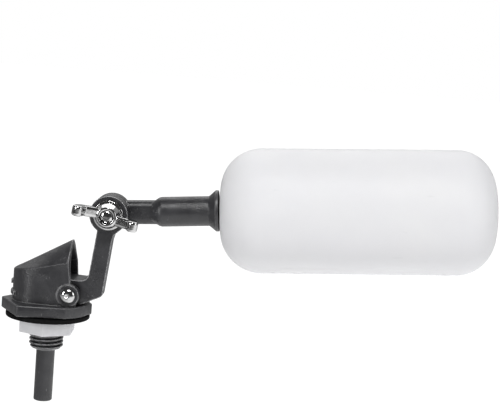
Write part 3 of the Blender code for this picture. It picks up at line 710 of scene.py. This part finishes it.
def float_line(inset):
    """Half section of the float, as (radius, distance) from its far pole to the near hole."""
    radius = FLOAT_RADIUS - inset
    flat_far = FLOAT_RADIUS - FLOAT_KNUCKLE
    flat_near = FLOAT_RADIUS - FLOAT_NEAR_KNUCKLE
    tip = FLOAT_LENGTH - inset
    start = FLOAT_LENGTH - FLOAT_CROWN - FLOAT_KNUCKLE
    end = FLOAT_CROWN + FLOAT_NEAR_KNUCKLE
    rows = 24
    far = [(flat_far * i / 6, tip - FLOAT_CROWN * (i / 6) ** 2) for i in range(6)]
    round_far = arc((flat_far, start), FLOAT_KNUCKLE - inset, pi / 2, 0.0, rows)
    side = [(radius, start + (end - start) * i / rows) for i in range(1, rows)]
    round_near = arc((flat_near, end), FLOAT_NEAR_KNUCKLE - inset, 0.0, -pi / 2, rows)
    edge = inset + FLOAT_CROWN * (FLOAT_HOLE / flat_near) ** 2
    return far + round_far + side + round_near + [(FLOAT_HOLE, edge)]


def make_float():
    """The blow-moulded shell, with the faint seam where the two mould halves met."""
    seam_share = SEAM_HALF_WIDTH / FLOAT_RADIUS

    def seam(angle, height):
        """A low ridge along the top and the bottom of the float."""
        off = abs(sin(angle))
        return SEAM_HEIGHT * max(0.0, 1.0 - off / seam_share)

    inside = list(reversed(float_line(FLOAT_WALL)))
    place = FLOAT_PLACE @ Matrix.Translation((GAP, 0.0, 0.0)) @ LAY_ALONG_X
    return turned(float_line(0.0) + inside, place, steps=192, swell=seam)


def make_insert():
    """The threaded insert in the float's end, which the arm's stud screws into."""
    mouth = GAP + 0.2 * MM
    collar = 2 * GAP + FLOAT_WALL + FLOAT_CROWN
    outer = FLOAT_HOLE - GAP
    hole = STUD_RADIUS + GAP
    stud_end = STUD_END - RIM_END + GAP
    end = stud_end + 2.0 * MM
    collar_end = collar + 2.0 * MM
    collar_radius = 6.6 * MM
    profile = [(0.0, end), (outer, end), (outer, collar_end), (collar_radius, collar_end),
               (collar_radius, collar), (outer, collar), (outer, mouth), (hole, mouth),
               (hole, stud_end), (0.0, stud_end)]
    return turned(profile, FLOAT_PLACE @ LAY_ALONG_X)


# ---------------------------------------------------------------- clamp bolt, washer, wing nut

def make_clamp_bolt():
    """A bolt along -Y with a fine thread, and its hexagon head held in the float arm."""
    place = ARM_PLACE @ Matrix.Translation((0.0, BOLT_SEAT, 0.0)) @ LAY_ALONG_Y
    head = plate(hexagon(HEAD_FLATS, 0.2 * MM), 0.0, HEAD_HEIGHT, 0.25 * MM, place)
    depth = 0.4 * MM
    root = BOLT_RADIUS - depth
    low = -BOLT_LENGTH
    chamfer = 0.3 * MM
    swell = thread_swell(BOLT_PITCH, depth, low, 2 * MM, 0.6 * BOLT_PITCH)
    line = thread_line(root, low + chamfer, OVERLAP, BOLT_PITCH)
    profile = [(0.0, low), (root - chamfer, low)] + line + [(0.0, OVERLAP)]
    return combine(head, [turned(profile, place, swell=swell)])


def make_washer():
    line = ring_line(HOLE_RADIUS, WASHER_RADIUS, 0.0, WASHER_THICKNESS, 0.22 * MM)
    face = -LEVER_WIDTH - GAP - WASHER_THICKNESS
    place = Matrix.Translation(CLAMP + Vector((0.0, face, 0.0))) @ LAY_ALONG_Y
    return turned(line, place, closed=True)


def wing():
    """One wing, drawn as (reach, height) above the nut's base."""
    tip = 1.9 * MM
    top = arc((WING_REACH - tip, WING_HEIGHT - tip), tip, 0.0, 0.8 * pi, 14)
    outline = [(2.9 * MM, 0.8 * MM), (6.5 * MM, 1.5 * MM), (9.6 * MM, 2.9 * MM),
               (10.9 * MM, 5.0 * MM)] + top + [(6.9 * MM, 5.4 * MM), (3.0 * MM, 3.7 * MM)]
    blade = side_plate(outline, -WING_THICKNESS / 2, WING_THICKNESS / 2, 0.7 * MM)
    for vertex in blade.data.vertices:
        vertex.co.y *= 1.0 + WING_SPREAD * max(vertex.co.x / WING_REACH, 0.0)
        vertex.co.y -= WING_OFFSET
    return blade


def make_wing_nut():
    """Cast in one piece: a tapered hub with two rounded wings."""
    edge = 0.3 * MM
    profile = [(0.0, WING_HUB_HEIGHT, 0.0), (WING_HUB_TOP, WING_HUB_HEIGHT, edge),
               (WING_HUB_BASE, 0.8 * MM, edge), (WING_HUB_BASE, 0.0, edge), (0.0, 0.0, 0.0)]
    nut = turned(rounded(profile))
    other = wing()
    other.data.transform(Matrix.Rotation(pi, 4, "Z"))
    combine(nut, [wing(), other])
    above = WING_HUB_HEIGHT + MM
    sink = 1.15 * MM
    hole = [(0.0, -MM), (HOLE_RADIUS, -MM), (HOLE_RADIUS, above - sink),
            (HOLE_RADIUS + sink, above), (0.0, above)]
    combine(nut, [turned(hole, steps=HOLE_STEPS)], "DIFFERENCE")
    melted(nut, voxel=0.14 * MM, passes=6)
    base = -LEVER_WIDTH - 2 * GAP - WASHER_THICKNESS
    place = Matrix.Translation(CLAMP + Vector((0.0, base, 0.0)))
    nut.data.transform(place @ Matrix.Rotation(WING_TURN, 4, "Y") @ STAND_UP)
    return nut


# ---------------------------------------------------------------- material nodes

def new_material(name):
    """A material, its node tree and its shader."""
    made = bpy.data.materials.new(name)
    made.use_nodes = True
    return made, made.node_tree, made.node_tree.nodes["Principled BSDF"]


def add(tree, kind, values=(), **settings):
    """A new node with settings on it and default values on its inputs."""
    made = tree.nodes.new(kind)
    for key, value in settings.items():
        setattr(made, key, value)
    for key, value in dict(values).items():
        made.inputs[key].default_value = value
    return made


def stretched_place(tree, stretch):
    """The piece's own coordinates, stretched to draw a pattern out along one direction."""
    place = add(tree, "ShaderNodeTexCoord")
    mapping = add(tree, "ShaderNodeMapping", {"Scale": stretch})
    tree.links.new(place.outputs["Object"], mapping.inputs["Vector"])
    return mapping.outputs["Vector"]


def noise(tree, size, detail=2.0, stretch=(1.0, 1.0, 1.0)):
    """Noise whose features are about this size, from 0 to 1."""
    made = add(tree, "ShaderNodeTexNoise", {"Scale": 1.0 / size, "Detail": detail})
    tree.links.new(stretched_place(tree, stretch), made.inputs["Vector"])
    return made.outputs["Fac"]


def spread(tree, value, low, high, to_low=0.0, to_high=1.0):
    """Stretch a value from one range to another, held at the ends."""
    made = add(tree, "ShaderNodeMapRange", {"From Min": low, "From Max": high,
                                            "To Min": to_low, "To Max": to_high})
    tree.links.new(value, made.inputs["Value"])
    return made.outputs["Result"]


def combined(tree, operation, first, second):
    """Arithmetic on two values, either of which may be a plain number."""
    made = add(tree, "ShaderNodeMath", operation=operation)
    for socket, value in zip(made.inputs, (first, second)):
        if isinstance(value, float):
            socket.default_value = value
        else:
            tree.links.new(value, socket)
    return made.outputs["Value"]


def mixed(tree, share, first, second):
    """A colour between two, each given as a colour or as another node's output."""
    made = add(tree, "ShaderNodeMix", data_type="RGBA")
    tree.links.new(share, made.inputs["Factor"])
    for socket, colour in zip(("A", "B"), (first, second)):
        target = [s for s in made.inputs if s.name == socket and s.type == "RGBA"][0]
        if isinstance(colour, tuple):
            target.default_value = (*colour, 1.0)
        else:
            tree.links.new(colour, target)
    return [s for s in made.outputs if s.type == "RGBA"][0]


def soft_normal(tree, radius):
    """The surface's normal with every edge rounded over this radius."""
    made = add(tree, "ShaderNodeBevel", {"Radius": radius}, samples=RAY_SAMPLES)
    return made.outputs["Normal"]


def edge_mask(tree, normal):
    """1 on sharp edges and 0 on flat faces."""
    shape = add(tree, "ShaderNodeNewGeometry")
    dot = add(tree, "ShaderNodeVectorMath", operation="DOT_PRODUCT")
    tree.links.new(shape.outputs["Normal"], dot.inputs[0])
    tree.links.new(normal, dot.inputs[1])
    return spread(tree, dot.outputs["Value"], 0.985, 0.86)


def openness(tree, reach):
    """1 on open faces and 0 in corners and narrow gaps, where painted shade goes."""
    shade = add(tree, "ShaderNodeAmbientOcclusion", {"Distance": reach}, samples=RAY_SAMPLES)
    return spread(tree, shade.outputs["AO"], 0.35, 0.8)


def bumped(tree, height, depth, normal=None):
    """A bump of this depth, on top of another normal."""
    made = add(tree, "ShaderNodeBump", {"Strength": 1.0, "Distance": depth})
    tree.links.new(height, made.inputs["Height"])
    if normal:
        tree.links.new(normal, made.inputs["Normal"])
    return made.outputs["Normal"]


def scuffs(tree, size, stretch, low, high):
    """Sparse marks: the peaks of a stretched noise, broken up by a wider one."""
    marks = spread(tree, noise(tree, size, 3.0, stretch), low, high)
    patches = spread(tree, noise(tree, 9 * size, 2.0), 0.5, 0.62)
    return combined(tree, "MULTIPLY", marks, patches)


# ---------------------------------------------------------------- materials

def dark_plastic():
    """Moulded dark grey plastic: grain patches, a few nicks, edges paled by wear and painted
    highlight, painted shade in corners.
    """
    made, tree, shader = new_material("dark_plastic")
    edges_soft = soft_normal(tree, 0.35 * MM)
    flow = spread(tree, noise(tree, 7.0 * MM, 3.0), 0.35, 0.65)
    colour = mixed(tree, flow, (0.015, 0.015, 0.0175), (0.026, 0.026, 0.029))
    # paler edges: partly wear, partly a painted highlight along the rims; kept out of corners below
    wear_and_edge_highlight = combined(tree, "MULTIPLY", edge_mask(tree, soft_normal(tree, 0.7 * MM)),
                    spread(tree, noise(tree, 1.2 * MM, 3.0), 0.3, 0.6, 0.4, 1.0))
    unshaded = openness(tree, 1.6 * MM)
    colour = mixed(tree, combined(tree, "MULTIPLY", wear_and_edge_highlight, unshaded), colour, (0.6, 0.6, 0.61))
    marks = scuffs(tree, 0.5 * MM, (1.0, 1.0, 0.25), 0.65, 0.72)
    colour = mixed(tree, marks, colour, (0.2, 0.2, 0.205))
    # painted shade: corners and narrow gaps are darkened in the colour
    colour = mixed(tree, unshaded, (0.004, 0.004, 0.0045), colour)
    tree.links.new(colour, shader.inputs["Base Color"])
    rough = spread(tree, noise(tree, 2.2 * MM, 4.0), 0.3, 0.7, 0.3, 0.44)
    tree.links.new(combined(tree, "ADD", rough, combined(tree, "MULTIPLY", marks, 0.2)),
                   shader.inputs["Roughness"])
    patches = spread(tree, noise(tree, 9.0 * MM, 2.0), 0.45, 0.6, 0.25, 1.0)
    pitted = combined(tree, "MULTIPLY", noise(tree, 0.45 * MM, 2.0), patches)
    grain = bumped(tree, pitted, 0.17 * MM, edges_soft)
    waves = bumped(tree, noise(tree, 3.5 * MM, 1.0), 0.05 * MM, grain)
    tree.links.new(waves, shader.inputs["Normal"])
    shader.inputs["Specular IOR Level"].default_value = 0.68
    return made


def float_plastic():
    """Blow-moulded polyethylene: milky, slightly see-through, with gentle ripples."""
    made, tree, shader = new_material("float_plastic")
    cloud = spread(tree, noise(tree, 26.0 * MM, 2.0), 0.35, 0.65)
    colour = mixed(tree, cloud, (0.85, 0.85, 0.88), (0.87, 0.87, 0.89))
    marks = scuffs(tree, 1.4 * MM, (0.2, 1.0, 1.0), 0.68, 0.78)
    colour = mixed(tree, combined(tree, "MULTIPLY", marks, 0.35), colour, (0.7, 0.7, 0.72))
    tree.links.new(colour, shader.inputs["Base Color"])
    rough = spread(tree, noise(tree, 6.0 * MM, 3.0), 0.3, 0.7, 0.48, 0.62)
    tree.links.new(rough, shader.inputs["Roughness"])
    ripples = bumped(tree, noise(tree, 14.0 * MM, 1.0), 0.12 * MM)
    grain = bumped(tree, noise(tree, 0.6 * MM, 2.0), 0.01 * MM, ripples)
    tree.links.new(grain, shader.inputs["Normal"])
    shader.inputs["Specular IOR Level"].default_value = 0.3
    shader.inputs["Subsurface Weight"].default_value = 0.5
    shader.inputs["Subsurface Radius"].default_value = (1.0, 1.0, 1.0)
    shader.inputs["Subsurface Scale"].default_value = 6.0 * MM
    return made


def white_nylon(name, pale, dull):
    """Moulded natural nylon: faint flow clouds, edges paled by wear and painted highlight, and a
    satin grain.
    """
    made, tree, shader = new_material(name)
    edges_soft = soft_normal(tree, 0.3 * MM)
    cloud = spread(tree, noise(tree, 4.0 * MM, 3.0), 0.35, 0.65)
    colour = mixed(tree, cloud, dull, pale)
    wear_and_edge_highlight = combined(tree, "MULTIPLY", edge_mask(tree, edges_soft), 0.25)
    # paler edges: partly wear, partly a painted highlight along the rims
    colour = mixed(tree, wear_and_edge_highlight, colour, (0.86, 0.86, 0.86))
    tree.links.new(colour, shader.inputs["Base Color"])
    rough = spread(tree, noise(tree, 1.5 * MM, 3.0), 0.3, 0.7, 0.38, 0.55)
    tree.links.new(rough, shader.inputs["Roughness"])
    grain = bumped(tree, noise(tree, 0.35 * MM, 2.0), 0.015 * MM, edges_soft)
    tree.links.new(grain, shader.inputs["Normal"])
    return made


def rubber():
    """Matt black rubber with a fine pitted skin."""
    made, tree, shader = new_material("rubber")
    dust = spread(tree, noise(tree, 1.8 * MM, 4.0), 0.45, 0.75)
    colour = mixed(tree, dust, (0.002, 0.002, 0.002), (0.006, 0.006, 0.0065))
    tree.links.new(colour, shader.inputs["Base Color"])
    rough = spread(tree, noise(tree, 1.0 * MM, 3.0), 0.3, 0.7, 0.7, 0.92)
    tree.links.new(rough, shader.inputs["Roughness"])
    pits = bumped(tree, noise(tree, 0.25 * MM, 3.0), 0.02 * MM)
    tree.links.new(pits, shader.inputs["Normal"])
    shader.inputs["Specular IOR Level"].default_value = 0.15
    return made


def polished_steel():
    """Bright plated steel: tumbled ripples, hazy patches and fine scratches."""
    made, tree, shader = new_material("polished_steel")
    edges_soft = soft_normal(tree, 0.2 * MM)
    cloud = spread(tree, noise(tree, 1.6 * MM, 3.0), 0.35, 0.7)
    colour = mixed(tree, cloud, (0.52, 0.52, 0.52), (0.68, 0.68, 0.68))
    tree.links.new(colour, shader.inputs["Base Color"])
    haze = spread(tree, noise(tree, 0.9 * MM, 4.0), 0.35, 0.75, 0.06, 0.16)
    lines = spread(tree, noise(tree, 0.3 * MM, 2.0, (0.15, 1.0, 2.0)), 0.55, 0.75, 0.0, 0.08)
    tree.links.new(combined(tree, "ADD", haze, lines), shader.inputs["Roughness"])
    ripples = bumped(tree, noise(tree, 1.3 * MM, 2.0), 0.035 * MM, edges_soft)
    tree.links.new(ripples, shader.inputs["Normal"])
    shader.inputs["Metallic"].default_value = 1.0
    return made


# ---------------------------------------------------------------- studio

def floor_material():
    """White sweep that lights the object, and to the camera is as bright as the backdrop.

    The glow ends in front of the object, and is weaker under the valve and far behind.
    """
    made, tree, shader = new_material("floor")
    shader.inputs["Roughness"].default_value = 0.9
    shader.inputs["Base Color"].default_value = (0.35, 0.35, 0.35, 1.0)
    shader.inputs["Specular IOR Level"].default_value = 0.0
    shader.inputs["Emission Color"].default_value = WHITE
    place = add(tree, "ShaderNodeTexCoord")
    split = add(tree, "ShaderNodeSeparateXYZ")
    tree.links.new(place.outputs["Object"], split.inputs["Vector"])
    glow = spread(tree, split.outputs["Y"], -0.6, -0.35, 0.0, FLOOR_LIGHT)
    near = spread(tree, split.outputs["Y"], 0.1, 0.6, 1.0, 0.2)
    under_float = spread(tree, split.outputs["X"], -0.14, 0.07, 0.2)
    glow = combined(tree, "MULTIPLY", glow, combined(tree, "MULTIPLY", near, under_float))
    tree.links.new(glow, shader.inputs["Emission Strength"])
    white = add(tree, "ShaderNodeEmission", {"Strength": 1.2})
    path = add(tree, "ShaderNodeLightPath")
    seen = add(tree, "ShaderNodeMixShader")
    seen_share = 0.9
    share = spread(tree, path.outputs["Is Camera Ray"], 0.0, 1.0, 0.0, seen_share)
    tree.links.new(share, seen.inputs["Fac"])
    tree.links.new(shader.outputs["BSDF"], seen.inputs[1])
    tree.links.new(white.outputs["Emission"], seen.inputs[2])
    tree.links.new(seen.outputs["Shader"], tree.nodes["Material Output"].inputs["Surface"])
    return made


def make_floor():
    """A wide round floor below the object."""
    work = bmesh.new()
    bmesh.ops.create_circle(work, cap_ends=True, segments=64, radius=FLOOR_RADIUS)
    bmesh.ops.translate(work, vec=(0.0, 0.0, FLOOR_HEIGHT), verts=work.verts)
    mesh = bpy.data.meshes.new("floor")
    work.to_mesh(mesh)
    work.free()
    ground = bpy.data.objects.new("floor", mesh)
    bpy.context.scene.collection.objects.link(ground)
    mesh.materials.append(floor_material())


def aim(location, target, roll=0.0):
    """A placement at location that looks at target, turned about the line of sight."""
    turn = (Vector(target) - Vector(location)).to_track_quat("-Z", "Y").to_matrix().to_4x4()
    return Matrix.Translation(location) @ turn @ Matrix.Rotation(roll, 4, "Z")


def softbox(name, location, width, height, power):
    """A soft rectangular lamp, aimed at the object."""
    light = bpy.data.lights.new(name, "AREA")
    light.shape = "RECTANGLE"
    light.size = width
    light.size_y = height
    light.energy = power
    lamp = bpy.data.objects.new(name, light)
    bpy.context.scene.collection.objects.link(lamp)
    lamp.matrix_world = aim(location, LOOK_AT)


def make_world():
    """White to the camera; the light is a pale backdrop behind and a dimmer room in front."""
    world = bpy.data.worlds.new("studio")
    bpy.context.scene.world = world
    world.use_nodes = True
    tree = world.node_tree
    tree.nodes.clear()
    place = add(tree, "ShaderNodeTexCoord")
    split = add(tree, "ShaderNodeSeparateXYZ")
    tree.links.new(place.outputs["Generated"], split.inputs["Vector"])
    backdrop = spread(tree, split.outputs["Y"], -0.1, 0.7, 0.05, 0.36)
    room = add(tree, "ShaderNodeBackground", {"Color": WHITE})
    tree.links.new(backdrop, room.inputs["Strength"])
    white = add(tree, "ShaderNodeBackground", {"Color": WHITE, "Strength": 1.0})
    path = add(tree, "ShaderNodeLightPath")
    seen = add(tree, "ShaderNodeMixShader")
    tree.links.new(path.outputs["Is Camera Ray"], seen.inputs["Fac"])
    tree.links.new(room.outputs["Background"], seen.inputs[1])
    tree.links.new(white.outputs["Background"], seen.inputs[2])
    out = add(tree, "ShaderNodeOutputWorld")
    tree.links.new(seen.outputs["Shader"], out.inputs["Surface"])


def make_camera():
    """A long lens on the wing nut's side, a little above the object and tilted."""
    level = cos(CAMERA_ELEVATION)
    back = Vector((level * sin(CAMERA_AZIMUTH), -level * cos(CAMERA_AZIMUTH),
                   sin(CAMERA_ELEVATION)))
    data = bpy.data.cameras.new("camera")
    data.lens = LENS
    data.sensor_width = SENSOR_WIDTH
    data.clip_start = 0.01
    camera = bpy.data.objects.new("camera", data)
    bpy.context.scene.collection.objects.link(camera)
    camera.matrix_world = aim(LOOK_AT + back * CAMERA_DISTANCE, LOOK_AT, CAMERA_ROLL)
    bpy.context.scene.camera = camera


def make_studio():
    make_floor()
    make_world()
    softbox("left", (-0.65, -0.75, 0.25), 0.2, 0.45, 3.8)
    softbox("right", (1.0, -0.4, 0.35), 0.3, 0.5, 2.3)
    softbox("front", (0.1, -0.6, 0.8), 0.45, 0.15, 6.4)
    softbox("back", (0.0, 0.72, 0.74), 1.0, 0.6, 3.1)
    make_camera()
    bpy.context.scene.view_settings.view_transform = "Standard"


# ---------------------------------------------------------------- the pieces

def place_piece(obj, name, node, body, material):
    """Name a finished shape, shade it, and let it stand for its CAD node."""
    obj.name = name
    obj.data.name = name
    obj.data.materials.clear()
    obj.data.materials.append(material)
    obj.data.shade_smooth()
    obj.data.set_sharp_from_angle(angle=radians(32.0))
    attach(obj, body)
    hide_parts(node)


def make_pieces():
    """One detailed piece for each CAD node, riding on the node's body."""
    plastic = dark_plastic()
    steel = polished_steel()
    black = rubber()
    nylon = white_nylon("white_nylon", (0.8, 0.8, 0.82), (0.74, 0.74, 0.76))
    insert = white_nylon("insert_plastic", (0.5, 0.5, 0.52), (0.45, 0.45, 0.47))
    milky = float_plastic()
    pieces = [
        (make_valve_body, "valve_body", "body", "dark_plastic", plastic),
        (make_gasket, "flange_gasket", "body", "rubber", black),
        (make_pivot_pin, "pivot_pin", "body", "polished_steel", steel),
        (make_retainer, "pin_retainer", "body", "polished_steel", steel),
        (make_mounting_nut, "mounting_nut", "mounting_nut", "white_nylon", nylon),
        (make_lever, "lever", "lever", "dark_plastic", plastic),
        (make_seal, "seal_plug", "lever", "rubber", black),
        (make_float_arm, "float_arm", "float", "dark_plastic", plastic),
        (make_float, "float_shell", "float", "float_plastic", milky),
        (make_insert, "float_insert", "float", "insert_plastic", insert),
        (make_clamp_bolt, "clamp_bolt", "float", "polished_steel", steel),
        (make_washer, "flat_washer", "washer", "polished_steel", steel),
        (make_wing_nut, "wing_nut", "wing_nut", "polished_steel", steel),
    ]
    for make, node, body, slot, material in pieces:
        place_piece(make(), "look_" + node, node, body, material)


make_pieces()
make_studio()
